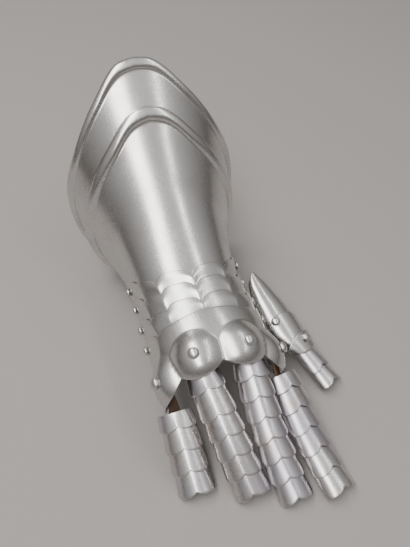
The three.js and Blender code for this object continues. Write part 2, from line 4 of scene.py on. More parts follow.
import bpy
import numpy as np
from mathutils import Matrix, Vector


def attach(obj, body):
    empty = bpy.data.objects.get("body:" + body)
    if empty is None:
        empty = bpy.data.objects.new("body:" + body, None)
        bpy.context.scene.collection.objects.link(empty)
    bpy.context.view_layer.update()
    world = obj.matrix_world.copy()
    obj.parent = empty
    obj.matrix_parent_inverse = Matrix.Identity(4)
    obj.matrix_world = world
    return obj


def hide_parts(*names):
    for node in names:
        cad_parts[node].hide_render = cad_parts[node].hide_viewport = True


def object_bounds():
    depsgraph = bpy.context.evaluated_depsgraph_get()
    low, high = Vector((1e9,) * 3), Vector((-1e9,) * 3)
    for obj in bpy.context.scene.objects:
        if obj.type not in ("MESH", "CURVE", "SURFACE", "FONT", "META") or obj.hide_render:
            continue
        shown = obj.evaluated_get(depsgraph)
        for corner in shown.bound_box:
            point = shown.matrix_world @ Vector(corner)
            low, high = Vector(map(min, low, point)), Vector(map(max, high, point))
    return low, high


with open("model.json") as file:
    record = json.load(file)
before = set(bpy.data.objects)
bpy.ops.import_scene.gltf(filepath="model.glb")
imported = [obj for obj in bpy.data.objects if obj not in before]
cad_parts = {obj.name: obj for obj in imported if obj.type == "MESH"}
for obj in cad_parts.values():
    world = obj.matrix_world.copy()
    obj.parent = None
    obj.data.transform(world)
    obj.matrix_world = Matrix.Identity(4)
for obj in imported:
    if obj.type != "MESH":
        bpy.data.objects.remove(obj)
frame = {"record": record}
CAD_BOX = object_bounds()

# Armoured right-hand gauntlet. The plates repeat the model's own named sizes, in
# millimetres, on finer grids. HOME takes those millimetres to the frame's origin.
SHEET = 1.0
GAP = 0.45
STEP = SHEET + GAP
LAP = 5
LOBE_REACH = 6
HALF_WIDTH, TOP, BOTTOM, AXIS = 1, 2, 3, 4
BODY = [
    # y, half width, top, bottom, axis
    (-94, 43.5, 56, 20, 29),
    (-80, 43.2, 67, 22, 35),
    (-62, 42.3, 72, 23, 39),
    (-38, 41.6, 71.5, 22, 40),
    (5, 40.8, 77, 16, 41),
    (45, 48.2, 98, 6.5, 43),
    (60, 54.2, 110.3, 2.6, 45),
    (66, 56.9, 115.5, 0.3, 46.3),
    (72, 59.7, 121, 0.2, 48),
    (90, 66.8, 138.6, 0.2, 55),
    (130, 77.5, 171, 0.2, 74),
]
BEAD_EDGE, RIM_EDGE = 1, 2
CUFF_EDGES = [
    # angle, bead, rim
    (0, 96.5, 125.8),
    (12, 94.2, 123.8),
    (30, 85.2, 112.4),
    (55, 79, 103),
    (80, 77.5, 101.5),
    (105, 69, 90),
    (135, 62, 80),
    (180, 60, 77),
]
# The raised bands: width, height, and the share of the height that an open end keeps.
BEAD_WIDTH, BEAD_HEIGHT, BEAD_FOOT = 8.6, 3, 0.1
RIM_WIDTH, RIM_HEIGHT, RIM_FOOT = 7.4, 2.6, 0.12
BAND_POWER = 2.4
REAR_PLATE_DEPTH, REAR_PLATE_LAP = STEP + 0.1, 12
CUFF_RIVET_Y, CUFF_RIVET_ANGLE, CUFF_RIVET_LIFT = 47.0, 132.0, 0.2
PIVOTS = {"a": (10.4, 43.5), "b": (-6.2, 41.5), "c": (-24.8, 41), "hand": (-43.3, 41.5)}
LAST_ANGLE = 112
EDGES = {
    # middle of the back, then arcs: angle, y, rise, power
    "a": (-12.6, [(38, -7.5, 5.2, 4), (62, 5, 2, 2), (LAST_ANGLE, 6, 10.5, 2)]),
    "b": (-22.9, [(36, -18.8, 5, 4), (60, -12.2, 1.6, 2), (LAST_ANGLE, -10, 11, 2)]),
    "c": (-36.6, [(35, -33.3, 5, 4), (58, -30.6, 1.8, 2), (LAST_ANGLE, -28.6, 10.6, 2)]),
    "hand": (-43, [(36, -45, 0.2, 2), (54, -46.4, 1.2, 2), (LAST_ANGLE, -46.5, 9, 2)]),
}
ARC_STEPS = (30, 14, 34)
LAP_SHARES = (0.2, 0.4, 0.6, 0.8, 1)
CIRCLE_BLEND = (5, 15)  # heights over a rivet between which laps turn to its circle
KNUCKLES = {
    # angle, y, places of the leather along the plate from the rivet
    "little": (-70, -75, (5, 0, -5, -10.5)),
    "ring": (-23, -73, (5, 0, -4)),
    "middle": (25, -74, (5, 0, -4)),
    "index": (70, -75, (5, 0, -5, -10.5)),
}
DOME_RADIUS, DOME_HEIGHT, DOME_POWER = 18.5, 5.5, 1.3
MIDDLE_NOTCH, SIDE_NOTCH, LOBE_END = (0, -81), (41.5, -81.5), (120, -79.5)
INNER_DEPTH, INNER_POWER = 4.6, 2.4
OUTER_DEPTH, OUTER_POWER = 8.2, 3
OUTER_SPLIT = 1 / 3  # share of the outer lobe in front of the plate's middle arc
FINGERS = {
    # crest, scales, pitch, first pitch, half width, roll
    "little": ([(-40, -80, 48), (-38.6, -103, 34), (-37, -137.5, 9.5)], 4, 14.6, 15, 13, -12),
    "ring": (
        [(-17, -82, 63.4), (-10.8, -116, 40.5), (-2.8, -151, 10.4)], 6, 14.4, 18.6, 12.8, -18),
    "middle": ([(17, -82, 62), (17.8, -118, 39), (24.6, -161.5, 8.8)], 7, 14.1, 14.1, 12.2, -8),
    "index": ([(41.5, -82, 48), (47.2, -124, 28), (56.2, -164, 10)], 6, 14.6, 14.6, 12.8, 10),
}
ARCH, SCALE_LAP, SCALE_DIP, SCALE_TAPER, SPREAD = 9, 4.5, 2.6, 2.1, 84
LOBE, LOBE_MIDDLE, LOBE_POWER = 3, 0.52, 2.6
FIRST_LENGTH, FIRST_DIP, FIRST_TAPER = 8.5, 1.9, 1.3
THUMB_CREST = [(57, 9, 33), (62.5, -20, 31), (67, -43, 28), (76.5, -66, 20), (86, -88.5, 9.6)]
THUMB_ROLL, THUMB_ARCH = 14, 0.75
THUMB_PLATES = {
    # distance, bow, half width, lift
    "thumb_base": [
        (0, 3, 2.5, 0), (8, 0, 7, 0), (22, 0, 11, 0), (40, 0, 13.8, 0), (55, 0, 13.8, -1.2)],
    "thumb_knuckle": [(44.5, 9, 15.4, STEP), (60, 0, 14.4, 0.9), (74, -8, 11.2, -0.8)],
    "thumb_lens": [(65, 6, 14.4, 2.5), (78.5, -5, 11.8, 0.5)],
}
# start, notch, half width at the start and at the edge, dip
THUMB_SCALES = [(75, 92, 8.8, 10.6, 2.2), (87.4, 105.4, 8.6, 10.8, 2.6)]
# distance, place across, half width, lift
THUMB_RIVETS = {"base": (48.5, -0.45, 15.2, 1.4), "lens": (70, 0.05, 13.6, 2.3)}
# Rivets: radius of the head, its height, radius of the shank.
SIDE_RIVET, KNUCKLE_RIVET, THUMB_RIVET = (3.1, 2.2, 1.3), (4, 3, 1.6), (3.4, 2.5, 1.4)
RIVET_SEAT, RIVET_EDGE = 0.3, 0.16
LEATHER_WIDTH, THUMB_LEATHER, LEATHER = 8, 7, 1.8
LEATHER_DEPTH, LEATHER_SEAT, LEATHER_DIVE = 5.8, 2.8, 1.8
OUTER_STRAP, INNER_STRAP, STRAP_END = 22, 4, 6
THUMB_STRAP = (12, 36, 58, 80, 99)
TAB_WIDTH = 13
TAB_ROUTE = [(30, -56, 38), (33, -54, 27), (43, -51, 14), (53, -48, 13), (62, -46, 18)]

RECORD = frame["record"]
BODY_OF = {
    node: body for body, nodes in RECORD["behaviour"]["bodies"].items() for node in nodes}
SLOT_OF = {entry["node"]: entry["material_slot"] for entry in RECORD["subparts"]}
HAND_JOINT = next(j for j in RECORD["behaviour"]["joints"] if j["name"] == "wrist_hand")
HOME = np.array(HAND_JOINT["pos_m"]) * 1000 - np.array((0, *PIVOTS["hand"]))


# ------------------------------------------------------------------ surfaces

def columns_of(table):
    return [np.array(column, float) for column in zip(*table)]


def hermite(t, start, leaving, end, arriving):
    """The cubic from start to end with the slopes leaving and arriving."""
    return (
        (2 * t**3 - 3 * t**2 + 1) * start + (t**3 - 2 * t**2 + t) * leaving
        + (3 * t**2 - 2 * t**3) * end + (t**3 - t**2) * arriving
    )


def sample(table, column, at):
    """Smooth value of a table's column at places on its first column."""
    columns = columns_of(table)
    key, value = columns[0], columns[column]
    at = np.asarray(at, float)
    row = np.clip(np.searchsorted(key, at) - 1, 0, len(key) - 2)
    before = np.maximum(np.arange(len(key)) - 1, 0)
    after = np.minimum(np.arange(len(key)) + 1, len(key) - 1)
    slope = (value[after] - value[before]) / (key[after] - key[before])
    span = key[row + 1] - key[row]
    t = (at - key[row]) / span
    return hermite(t, value[row], span * slope[row], value[row + 1], span * slope[row + 1])


def unit(vectors):
    return vectors / np.maximum(np.linalg.norm(vectors, axis=-1, keepdims=True), 1e-9)


def smooth_step(value, low, high):
    t = np.clip((value - low) / (high - low), 0, 1)
    return t * t * (3 - 2 * t)


def lerp(a, b, t):
    return a + (b - a) * t


def body_point(y, angle):
    """A point of the body's surface, by its angle from the back toward the thumb."""
    y, angle = np.broadcast_arrays(np.asarray(y, float), np.radians(angle))
    axis = sample(BODY, AXIS, y)
    rise = np.cos(angle)
    reach = np.where(rise > 0, sample(BODY, TOP, y) - axis, axis - sample(BODY, BOTTOM, y))
    aside = sample(BODY, HALF_WIDTH, y) * np.sin(angle)
    return np.stack([aside, y, axis + reach * rise], axis=-1)


def body_normal(y, angle):
    around = body_point(y, angle + 1) - body_point(y, angle - 1)
    along = body_point(y + 0.5, angle) - body_point(y - 0.5, angle)
    return unit(np.cross(around, along))


def raised(y, angle, height):
    return body_point(y, angle) + body_normal(y, angle) * np.asarray(height)[..., None]


# -------------------------------------------------------------------- meshes

LIP_STEPS = 4  # faces round the edge of a sheet
TURN_STEPS = 28  # faces round a rivet


def add_piece(name, points, faces, node):
    """A new object in a node's place, from points in the model's millimetres."""
    mesh = bpy.data.meshes.new(name)
    placed = (np.asarray(points).reshape(-1, 3) + HOME) / 1000
    mesh.from_pydata(placed.tolist(), [], faces)
    mesh.update()
    mesh.shade_smooth()
    piece = bpy.data.objects.new(name, mesh)
    bpy.context.scene.collection.objects.link(piece)
    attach(piece, BODY_OF[node])
    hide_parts(node)
    mesh.materials.append(MATERIALS[SLOT_OF[node]])


def grid_normals(grid, ring):
    if ring:
        around = np.roll(grid, -1, axis=1) - np.roll(grid, 1, axis=1)
    else:
        around = np.gradient(grid, axis=1)
    along = np.gradient(grid, axis=0)
    return unit(np.cross(around, along))


def edge_loops(rows, across, ring):
    """The grid places along each open edge of a sheet, as (row, column) pairs."""
    top = [(0, column) for column in range(across)]
    bottom = [(rows - 1, column) for column in range(across)]
    if ring:
        return [top, bottom[::-1]]
    right_side = [(row, across - 1) for row in range(1, rows)]
    left_side = [(row, 0) for row in range(rows - 2, 0, -1)]
    return [top + right_side + bottom[-2::-1] + left_side]


def shell(grid, ring=False, thickness=SHEET):
    """A curved sheet under a grid of outer points, with rounded edges. Rows run from
    the rear to the front and columns from left to right."""
    rows, across = grid.shape[:2]
    inward = grid_normals(grid, ring)
    inner = grid + inward * thickness
    middle = grid + inward * (thickness / 2)
    points = [grid.reshape(-1, 3), inner.reshape(-1, 3)]
    count = rows * across
    total = 2 * count
    faces = []
    for row in range(rows - 1):
        for column in range(across if ring else across - 1):
            right = (column + 1) % across
            a, b = row * across + column, row * across + right
            c, d = a + across, b + across
            faces.append((a, c, d, b))
            faces.append((a + count, b + count, d + count, c + count))
    for loop in edge_loops(rows, across, ring):
        r, c = np.array(loop).T
        inside_r = np.clip(r, 1, rows - 2)
        inside_c = c if ring else np.clip(c, 1, across - 2)
        outward = grid[r, c] - grid[inside_r, inside_c]
        deep = inward[r, c]
        outward = unit(outward - deep * np.sum(outward * deep, axis=1, keepdims=True))
        rings = [r * across + c]
        for step in range(1, LIP_STEPS):
            turn = math.pi * step / LIP_STEPS
            away = outward * math.sin(turn) - deep * math.cos(turn)
            points.append(middle[r, c] + away * (thickness / 2))
            rings.append(total + np.arange(len(loop)))
            total += len(loop)
        rings.append(r * across + c + count)
        for first, second in zip(rings, rings[1:]):
            for i in range(len(loop)):
                j = (i + 1) % len(loop)
                faces.append((int(first[i]), int(first[j]), int(second[j]), int(second[i])))
    return np.concatenate(points), faces


def turned(profile, point, normal):
    """A round solid from (radius, height) pairs, standing on a point."""
    turn = np.array(Vector((0, 0, 1)).rotation_difference(Vector(normal)).to_matrix())
    points, faces = [], []
    for radius, height in profile:
        for step in range(TURN_STEPS):
            angle = 2 * math.pi * step / TURN_STEPS
            local = np.array((radius * math.cos(angle), radius * math.sin(angle), height))
            points.append(turn @ local + point)
    for row in range(len(profile) - 1):
        for step in range(TURN_STEPS):
            a, b = row * TURN_STEPS + step, row * TURN_STEPS + (step + 1) % TURN_STEPS
            faces.append((a, b, b + TURN_STEPS, a + TURN_STEPS))
    faces.append(tuple(range(TURN_STEPS))[::-1])
    last = (len(profile) - 1) * TURN_STEPS
    faces.append(tuple(last + step for step in range(TURN_STEPS)))
    return np.array(points), faces


def rivet(name, size, point, normal, depth):
    """A rivet with a domed head outside, a shank, and a hammered end "depth" inside."""
    head, height, shank = size
    dome = [
        (head * math.cos(t), RIVET_SEAT + height * lerp(math.sin(t), 1, RIVET_EDGE))
        for t in np.linspace(0, math.pi / 2 - 0.06, 9)
    ]
    hammered = [
        (shank * 0.6, -depth - 0.9), (shank + 0.55, -depth - 0.8), (shank + 0.8, -depth - 0.4),
        (shank + 0.7, -depth),
    ]
    stem = [(shank, -depth), (shank, RIVET_SEAT)]
    rim = [(head * 0.93, RIVET_SEAT - 0.25), (head, RIVET_SEAT)]
    points, faces = turned([*hammered, *stem, *rim, *dome], point, normal)
    add_piece(f"{name}_round", points, faces, name)


# ----------------------------------------------------------- edges of plates

def arc_columns():
    """Side, arc and part of every column of an arched plate, from left to right."""
    right = [
        (1, arc, (step + 1) / steps)
        for arc, steps in enumerate(ARC_STEPS) for step in range(steps)]
    left = [(-1, arc, part) for _, arc, part in reversed(right)]
    return columns_of([*left, (1, 0, 0.0), *right])


SIDES, ARCS, PARTS = arc_columns()
ARCS = ARCS.astype(int)


def edge_place(edge):
    """Unsigned angle and y of an edge at every column."""
    centre, arcs = edge
    ends = np.array([(0, centre, 0, 2)] + list(arcs), float)
    start, stop = ends[ARCS], ends[ARCS + 1]
    swell = stop[:, 2] * (1 - np.abs(2 * PARTS - 1) ** stop[:, 3])
    return lerp(start[:, 0], stop[:, 0], PARTS), lerp(start[:, 1], stop[:, 1], PARTS) + swell


def lap_row(edge, pivot, share):
    """A row of the hidden part of a plate, which follows a circle about the rivets."""
    unsigned, y = edge_place(edge)
    angle = unsigned * SIDES
    start = raised(y, angle, np.zeros_like(y))
    straight = raised(
        lerp(y, pivot[0] - LOBE_REACH, share), angle, np.full_like(y, -STEP * share))
    arm = start[:, 1:] - np.array(pivot)
    turn = LAP / np.linalg.norm(arm, axis=1) * share
    circle = np.stack([
        start[:, 0],
        pivot[0] + arm[:, 0] * np.cos(turn) - arm[:, 1] * np.sin(turn),
        pivot[1] + arm[:, 0] * np.sin(turn) + arm[:, 1] * np.cos(turn),
    ], axis=1)
    above = start[:, 2] - pivot[1]
    return lerp(straight, circle, smooth_step(above, *CIRCLE_BLEND)[:, None])


def side_rivets(name):
    y, z = PIVOTS[name]
    reach = float(sample(BODY, HALF_WIDTH, y)) + STEP + 0.3
    for side, word in ((-1, "left"), (1, "right")):
        point = np.array((side * reach, y, z))
        rivet(f"rivet_{name}_{word}", SIDE_RIVET, point, (side, 0, 0), 2 * STEP + SHEET + 1)


# ----------------------------------------------------------------- materials

MATERIALS = {}


class Nodes:
    """Short names for making a material's nodes."""

    def __init__(self, name):
        self.material = bpy.data.materials.new(name)
        self.material.use_nodes = True
        self.tree = self.material.node_tree
        self.shader = self.tree.nodes["Principled BSDF"]
        self.place = self.add("ShaderNodeTexCoord").outputs["Object"]

    def add(self, kind, **values):
        node = self.tree.nodes.new(kind)
        for key, value in values.items():
            setattr(node, key, value)
        return node

    def link(self, source, target):
        self.tree.links.new(source, target)

    def scaled(self, scale, offset=(0, 0, 0)):
        node = self.add("ShaderNodeMapping")
        node.inputs["Scale"].default_value = scale
        node.inputs["Location"].default_value = offset
        self.link(self.place, node.inputs["Vector"])
        return node.outputs["Vector"]

    def noise(self, scale, stretch=(1, 1, 1), detail=4, rough=0.55, offset=(0, 0, 0)):
        node = self.add("ShaderNodeTexNoise")
        node.inputs["Scale"].default_value = scale
        node.inputs["Detail"].default_value = detail
        node.inputs["Roughness"].default_value = rough
        self.link(self.scaled(stretch, offset), node.inputs["Vector"])
        return node.outputs["Fac"]

    def span(self, value, low, high, to_low=0.0, to_high=1.0):
        node = self.add("ShaderNodeMapRange")
        node.inputs["From Min"].default_value = low
        node.inputs["From Max"].default_value = high
        node.inputs["To Min"].default_value = to_low
        node.inputs["To Max"].default_value = to_high
        self.link(value, node.inputs["Value"])
        return node.outputs["Result"]

    def math(self, operation, first, second):
        node = self.add("ShaderNodeMath", operation=operation)
        for socket, value in zip(node.inputs, (first, second)):
            if isinstance(value, (int, float)):
                socket.default_value = value
            else:
                self.link(value, socket)
        return node.outputs[0]

    def mix(self, factor, first, second, blend="MIX"):
        node = self.add("ShaderNodeMix", data_type="RGBA", blend_type=blend)
        factor_socket, first_socket, second_socket = (node.inputs[i] for i in (0, 6, 7))
        for socket, value in (
                (factor_socket, factor), (first_socket, first), (second_socket, second)):
            if isinstance(value, (int, float)):
                socket.default_value = value
            elif isinstance(value, tuple):
                socket.default_value = (*value, 1)
            else:
                self.link(value, socket)
        return node.outputs[2]

    def bump(self, height, strength, distance):
        node = self.add("ShaderNodeBump")
        node.inputs["Strength"].default_value = strength
        node.inputs["Distance"].default_value = distance
        self.link(height, node.inputs["Height"])
        self.link(node.outputs["Normal"], self.shader.inputs["Normal"])


def steel(name, colour, stain, tint, rough, stain_share):
    """Brushed steel that drifts between two greys, with darker stains."""
    n = Nodes(name)
    brush = n.noise(1, (900, 60, 900), 3, 0.6)
    cloud = n.noise(26, (1, 1, 1), 5, 0.6)
    blotch = n.noise(70, (1, 0.7, 1), 6, 0.65, (3, 1, 2))
    base = n.mix(n.span(cloud, 0.35, 0.65), colour, tint)
    base = n.mix(n.span(blotch, 0.56, 0.74, 0, stain_share), base, stain)
    n.link(base, n.shader.inputs["Base Color"])
    n.shader.inputs["Metallic"].default_value = 1.0
    fine, broad = n.span(brush, 0.3, 0.7, -0.04, 0.04), n.span(cloud, 0.3, 0.7, -0.05, 0.05)
    spread = n.math("ADD", fine, broad)
    n.link(n.math("ADD", spread, rough), n.shader.inputs["Roughness"])
    n.bump(n.math("ADD", brush, n.math("MULTIPLY", blotch, 0.6)), 0.07, 0.0002)
    return n.material


def leather(name):
    """Dark brown leather with a fine grain and lighter worn places."""
    n = Nodes(name)
    grain = n.noise(420, (1, 1, 1), 4, 0.6)
    wear = n.noise(40, (1, 1, 1), 4, 0.6)
    base = n.mix(n.span(wear, 0.4, 0.7), (0.055, 0.03, 0.018), (0.12, 0.07, 0.04))
    n.link(base, n.shader.inputs["Base Color"])
    n.link(n.span(grain, 0.3, 0.7, 0.62, 0.85), n.shader.inputs["Roughness"])
    n.bump(grain, 0.5, 0.0004)
    return n.material


MATERIALS["polished_steel"] = steel(
    "polished steel", colour=(0.66, 0.645, 0.625), stain=(0.42, 0.34, 0.26),
    tint=(0.6, 0.585, 0.585), rough=0.25, stain_share=0.25)
MATERIALS["dull_steel"] = steel(
    "dull steel", colour=(0.66, 0.635, 0.61), stain=(0.4, 0.3, 0.21),
    tint=(0.56, 0.53, 0.57), rough=0.3, stain_share=0.6)
MATERIALS["rivet_steel"] = steel(
    "rivet steel", colour=(0.66, 0.655, 0.64), stain=(0.4, 0.33, 0.26),
    tint=(0.6, 0.59, 0.59), rough=0.28, stain_share=0.4)
MATERIALS["brown_leather"] = leather("brown leather")


# ---------------------------------------------------------------------- cuff

UNDERSIDE = np.linspace(LAST_ANGLE, 180, 20)[1:]


def ring_angles():
    """Angles all round a section, closer together on the back."""
    right = np.concatenate([np.linspace(0, 30, 26)[1:], np.linspace(30, 180, 72)[1:]])
    return np.concatenate([-right[:-1][::-1], [0], right])


RING = ring_angles()


def cuff_edge(column):
    return sample(CUFF_EDGES, column, np.abs(RING))


def half_round(part, foot=0):
    """Height across a raised band; its first half starts at "foot" in place of 0."""
    height = 1 - np.abs(2 * part - 1) ** BAND_POWER
    return foot + (1 - foot) * height if part < 0.5 else height


def rear_plate():
    base = -REAR_PLATE_DEPTH
    bead, rim = cuff_edge(BEAD_EDGE), cuff_edge(RIM_EDGE)
    rows = []
    for part in np.linspace(0, 1, 13):
        height = RIM_HEIGHT * half_round(part, RIM_FOOT)
        rows.append(raised(rim - part * RIM_WIDTH, RING, np.full_like(RING, base + height)))
    for part in np.linspace(0, 1, 22)[1:]:
        y = lerp(rim - RIM_WIDTH, bead - REAR_PLATE_LAP, part)
        rows.append(raised(y, RING, np.full_like(RING, base)))
    points, faces = shell(np.array(rows), ring=True)
    add_piece("cuff_rear_plate_smooth", points, faces, "cuff_rear_plate")


def cuff_columns():
    """Angle and front-edge y of the cuff's columns, all round."""
    unsigned, y = edge_place(EDGES["a"])
    near = y[-1]
    angle = np.concatenate([-UNDERSIDE[::-1][1:], unsigned * SIDES, UNDERSIDE])
    below = len(UNDERSIDE)
    edge = np.concatenate([np.full(below - 1, near), y, np.full(below, near)])
    return angle, edge


def cuff_main():
    angle, edge = cuff_columns()
    bead = sample(CUFF_EDGES, BEAD_EDGE, np.abs(angle))
    flat = np.zeros_like(angle)
    rows = []
    for part in np.linspace(0, 1, 13):
        height = BEAD_HEIGHT * half_round(part, BEAD_FOOT)
        rows.append(raised(bead - BEAD_WIDTH * part, angle, flat + height))
    for share in np.linspace(1, 0, 56)[1:]:
        rows.append(raised(lerp(edge, bead - BEAD_WIDTH, share), angle, flat))
    first = len(UNDERSIDE) - 1
    for share in LAP_SHARES:
        row = raised(lerp(edge, PIVOTS["a"][0] - LOBE_REACH, share), angle, flat - STEP * share)
        row[first:first + len(SIDES)] = lap_row(EDGES["a"], PIVOTS["a"], share)
        rows.append(row)
    points, faces = shell(np.array(rows), ring=True)
    add_piece("cuff_main_smooth", points, faces, "cuff_main")


rear_plate()
cuff_main()
for side, word in ((-1, "left"), (1, "right")):
    place = (CUFF_RIVET_Y, side * CUFF_RIVET_ANGLE)
    point = raised(*place, CUFF_RIVET_LIFT)
    rivet(f"rivet_cuff_{word}", SIDE_RIVET, point, body_normal(*place), STEP + SHEET + 0.9)


# --------------------------------------------------------- lames and the hand

def lame(name, following):
    unsigned, y = edge_place(EDGES[name])
    unsigned_next, y_next = edge_place(EDGES[following])
    rows = []
    for t in np.linspace(0, 1, 16):
        height = np.full_like(y, STEP * (1 - smooth_step(t, 0.25, 1)))
        angle = lerp(unsigned, unsigned_next, t) * SIDES
        rows.append(raised(lerp(y, y_next, t), angle, height))
    for share in LAP_SHARES:
        rows.append(lap_row(EDGES[following], PIVOTS[following], share))
    points, faces = shell(np.array(rows))
    add_piece(f"lame_{name}_smooth", points, faces, f"lame_{name}")


lame("a", "b")
lame("b", "c")
lame("c", "hand")
for name in PIVOTS:
    side_rivets(name)


def dome_height(y, angle):
    here = body_point(y, angle)
    height = np.zeros(here.shape[:-1])
    for knuckle_angle, knuckle_y, _ in KNUCKLES.values():
        away = np.linalg.norm(here - body_point(knuckle_y, knuckle_angle), axis=-1) / DOME_RADIUS
        height = np.maximum(height, DOME_HEIGHT * np.clip(1 - away**2, 0, 1) ** DOME_POWER)
    return height


def lobe(start, end, part, depth, power):
    """Angle and y along one round lobe between two notches."""
    swell = depth * (1 - np.abs(2 * part - 1) ** power)
    return lerp(start[0], end[0], part), lerp(start[1], end[1], part) - swell


def lobe_place():
    """Unsigned angle and y of the plate's front edge: the first arc ends in the inner
    lobe, and the other two share the outer one."""
    outer_part = np.where(ARCS == 1, PARTS * OUTER_SPLIT, lerp(OUTER_SPLIT, 1, PARTS))
    inner = lobe(MIDDLE_NOTCH, SIDE_NOTCH, PARTS, INNER_DEPTH, INNER_POWER)
    outer = lobe(SIDE_NOTCH, LOBE_END, outer_part, OUTER_DEPTH, OUTER_POWER)
    return [np.where(ARCS == 0, first, second) for first, second in zip(inner, outer)]


def metacarpal_plate():
    unsigned, y = edge_place(EDGES["hand"])
    end_angle, end_y = lobe_place()
    rows = []
    for share in np.linspace(0, 1, 64):
        at = lerp(y, end_y, share)
        angle = SIDES * lerp(unsigned, end_angle, smooth_step(share, 0, 0.6))
        lift = STEP * (1 - smooth_step(share, 0, 0.5))
        rows.append(raised(at, angle, lift + dome_height(at, angle)))
    points, faces = shell(np.array(rows))
    add_piece("metacarpal_smooth", points, faces, "metacarpal_plate")


metacarpal_plate()
for name, (angle, y, _) in KNUCKLES.items():
    point, normal = raised(y, angle, DOME_HEIGHT), body_normal(y, angle)
    rivet(f"rivet_knuckle_{name}", KNUCKLE_RIVET, point, normal, SHEET + LEATHER_SEAT + LEATHER + 0.7)


# ---------------------------------------------------- finger and thumb plates

class Crest:
    """A smooth line through points, measured by distance along it."""

    def __init__(self, points):
        points = np.array(points, float)
        ends = np.array([2 * points[0] - points[1], *points, 2 * points[-1] - points[-2]])
        dense = []
        for i in range(len(points) - 1):
            p = ends[i:i + 4]
            knots = [0.0]
            for a, b in zip(p, p[1:]):
                knots.append(knots[-1] + np.linalg.norm(b - a) ** 0.5)
            d0, d1, d2 = (knots[k + 1] - knots[k] for k in range(3))
            m1 = ((p[1] - p[0]) / d0 - (p[2] - p[0]) / (d0 + d1) + (p[2] - p[1]) / d1) * d1
            m2 = ((p[2] - p[1]) / d1 - (p[3] - p[1]) / (d1 + d2) + (p[3] - p[2]) / d2) * d1
            dense.append(hermite(np.linspace(0, 1, 80)[:, None], p[1], m1, p[2], m2))
        self.line = np.concatenate([dense[0], *(part[1:] for part in dense[1:])])
        steps = np.linalg.norm(np.diff(self.line, axis=0), axis=1)
        self.along = np.concatenate([[0], np.cumsum(steps)])
        self.length = self.along[-1]
        self.heading = unit(np.gradient(self.line, axis=0))

    def at(self, distance, values):
        """Values given along the line, read at distances along it."""
        return np.stack(
            [np.interp(distance, self.along, values[:, k]) for k in range(3)], axis=-1)

    def frame(self, distance, roll):
        """Point, right and up at each distance."""
        within = np.clip(distance, 0, self.length)
        forward = unit(self.at(within, self.heading))
        point = self.at(within, self.line) + forward * (distance - within)[..., None]
        level = unit(np.cross((0, 0, 1), forward))
        up = unit(np.cross(forward, level))
        turn = -math.radians(roll)
        right_turned = level * math.cos(turn) + np.cross(forward, level) * math.sin(turn)
        up_turned = up * math.cos(turn) + np.cross(forward, up) * math.sin(turn)
        return point, right_turned, up_turned


def arched(crest, roll, places, distance, half_width, arch, lift):
    """Points of an arched row; each value may differ from place to place."""
    distance = np.broadcast_to(np.asarray(distance, float), places.shape)
    point, right, up = crest.frame(distance, roll)
    angle = places * math.radians(SPREAD)
    aside = half_width * np.sin(angle) / math.sin(math.radians(SPREAD))
    drop = lift - arch * (1 - np.cos(angle))
    return point + right * aside[:, None] + up * drop[:, None]


PLACES = np.linspace(-1, 1, 49)


def bracket(places):
    """The edge of a scale: two round lobes with a cusp between them."""
    return LOBE * (1 - np.abs(1 - np.abs(places) / LOBE_MIDDLE) ** LOBE_POWER)


def scale(name, crest, roll, start, notch, start_width, half_width, arch, dip):
    edge = notch + bracket(PLACES)
    rows = []
    for t in np.linspace(0, 1, 16):
        distance, width = lerp(start, edge, t), lerp(start_width, half_width, t)
        rows.append(arched(crest, roll, PLACES, distance, width, arch, -dip * (1 - t)))
    points, faces = shell(np.array(rows))
    add_piece(f"{name}_smooth", points, faces, name)


def finger_scales(name):
    crest_points, scales, pitch, first_pitch, half_width, roll = FINGERS[name]
    crest = Crest(crest_points)
    for index in range(scales):
        first = index == 0
        visible = first_pitch if index == 1 else pitch
        beyond = first_pitch - pitch if first else 0
        notch = crest.length - (scales - 1 - index) * pitch - beyond
        start = notch - FIRST_LENGTH if first else notch - visible - SCALE_LAP
        narrow = half_width - (FIRST_TAPER if first else SCALE_TAPER)
        dip = FIRST_DIP if first else SCALE_DIP
        piece = f"{name}_scale_{index + 1}"
        scale(piece, crest, roll, start, notch, narrow, half_width, ARCH, dip)


for name in FINGERS:
    finger_scales(name)

THUMB = Crest(THUMB_CREST)


def thumb_arch(places, distance, half_width, lift):
    return arched(
        THUMB, THUMB_ROLL, places, distance, half_width, half_width * THUMB_ARCH, lift)


def thumb_plate(name):
    stations = THUMB_PLATES[name]
    rows = []
    for distance in np.linspace(stations[0][0], stations[-1][0], 30):
        bow, half_width, lift = (
            float(sample(stations, column, distance)) for column in (1, 2, 3))
        rows.append(thumb_arch(PLACES, distance + bow * PLACES**2, half_width, lift))
    points, faces = shell(np.array(rows))
    add_piece(f"{name}_smooth", points, faces, name)


def thumb_rivet(name):
    """A rivet square to the plate under it."""
    distance, place, half_width, lift = THUMB_RIVETS[name]

    def spot(along, across):
        return thumb_arch(np.array([across]), along, half_width, lift)[0]

    forward = spot(distance + 1, place) - spot(distance - 1, place)
    sideways = spot(distance, place + 0.05) - spot(distance, place - 0.05)
    normal = unit(np.cross(forward, sideways))
    rivet(f"rivet_thumb_{name}", THUMB_RIVET, spot(distance, place), normal, STEP + SHEET + 1.8)


for name in THUMB_PLATES:
    thumb_plate(name)
for index, (start, notch, start_width, half_width, dip) in enumerate(THUMB_SCALES):
    scale(
        f"thumb_scale_{index + 1}", THUMB, THUMB_ROLL, start, notch, start_width, half_width,
        half_width * THUMB_ARCH, dip,
    )
for name in THUMB_RIVETS:
    thumb_rivet(name)


# ------------------------------------------------------------------- leather

STRIP_STEPS = 8  # faces across a strip, and rows for each row given


